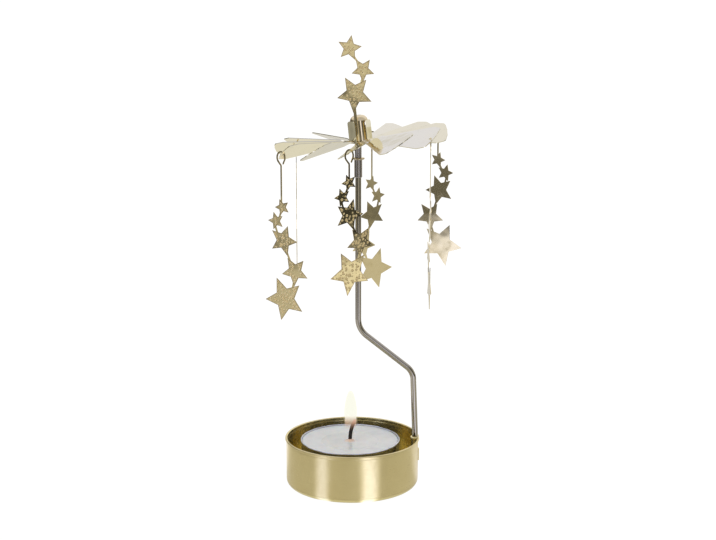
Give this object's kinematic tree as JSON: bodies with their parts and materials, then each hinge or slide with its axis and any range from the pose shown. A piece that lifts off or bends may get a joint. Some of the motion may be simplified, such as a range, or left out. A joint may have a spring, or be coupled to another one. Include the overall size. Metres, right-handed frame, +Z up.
{
  "type": "rotary candle holder",
  "caption": "Rotary tea light holder: a low round tin holds the candle and a bent rod, whose needle point carries a winged rotor hung with star pendants.",
  "frame": {"origin": "middle of the tin's flat underside", "axes": "+Z up along the post, +X toward the side where the rod stands in the tin, -Y toward the viewer"},
  "size_m": [0.0745, 0.0729, 0.1733],
  "materials": {
    "tin": "satin",
    "cup": "thin drawn sheet",
    "wax": "smooth wax",
    "wick": "charred cotton",
    "sustainer": "tinned sheet",
    "rod": "polished",
    "fitting": "turned",
    "gold_sheet": "mirror",
    "etched_sheet": "mirror back, etched speckled front"
  },
  "bodies": {
    "base": {"tin_base": "tin"},
    "tealight": {"tealight_cup": "cup", "tealight_wax": "wax", "wick": "wick", "wick_sustainer": "sustainer"},
    "stand": {"stand_rod": "rod", "point_sleeve": "fitting", "sleeve_collar": "fitting", "needle": "fitting"},
    "rotor": {"hub_cap": "gold_sheet", "rotor_disc": "gold_sheet", "top_star_ornament": "etched_sheet"},
    "hanging_1": {"pendant_1": "etched_sheet"},
    "hanging_2": {"pendant_2": "etched_sheet"},
    "hanging_3": {"pendant_3": "etched_sheet"},
    "hanging_4": {"pendant_4": "etched_sheet"},
    "hanging_5": {"pendant_5": "etched_sheet"},
    "hanging_6": {"pendant_6": "etched_sheet"}
  },
  "joints": [
    {"name": "tealight_lift", "type": "slide", "parent": "base", "child": "tealight", "axis": [0, 0, 1], "range_m": [0, 0.025]},
    {"name": "stand_lift", "type": "slide", "parent": "base", "child": "stand", "axis": [0, 0, 1], "range_m": [0, 0.0155]},
    {"name": "rotor_spin", "type": "hinge", "parent": "stand", "child": "rotor", "pos_m": [0.00235, 0, 0.1434], "axis": [0, 0, 1], "continuous": true},
    {"name": "pendant_1_swing", "type": "hinge", "parent": "rotor", "child": "hanging_1", "pos_m": [0.0328, 0.0119, 0.13568], "axis": [-0.4695, -0.8829, 0], "range_deg": [-20, 60]},
    {"name": "pendant_2_swing", "type": "hinge", "parent": "rotor", "child": "hanging_2", "pos_m": [0.00772, 0.03137, 0.13248], "axis": [0.5299, -0.848, 0], "range_deg": [-20, 60]},
    {"name": "pendant_3_swing", "type": "hinge", "parent": "rotor", "child": "hanging_3", "pos_m": [-0.02165, 0.01922, 0.12971], "axis": [0.9994, 0.0349, 0], "range_deg": [-20, 60]},
    {"name": "pendant_4_swing", "type": "hinge", "parent": "rotor", "child": "hanging_4", "pos_m": [-0.02594, -0.0124, 0.13013], "axis": [0.4695, 0.8829, 0], "range_deg": [-20, 60]},
    {"name": "pendant_5_swing", "type": "hinge", "parent": "rotor", "child": "hanging_5", "pos_m": [-0.00086, -0.03187, 0.13333], "axis": [-0.5299, 0.848, 0], "range_deg": [-20, 60]},
    {"name": "pendant_6_swing", "type": "hinge", "parent": "rotor", "child": "hanging_6", "pos_m": [0.02851, -0.01972, 0.13611], "axis": [-0.9994, -0.0349, 0], "range_deg": [-20, 60]}
  ]
}
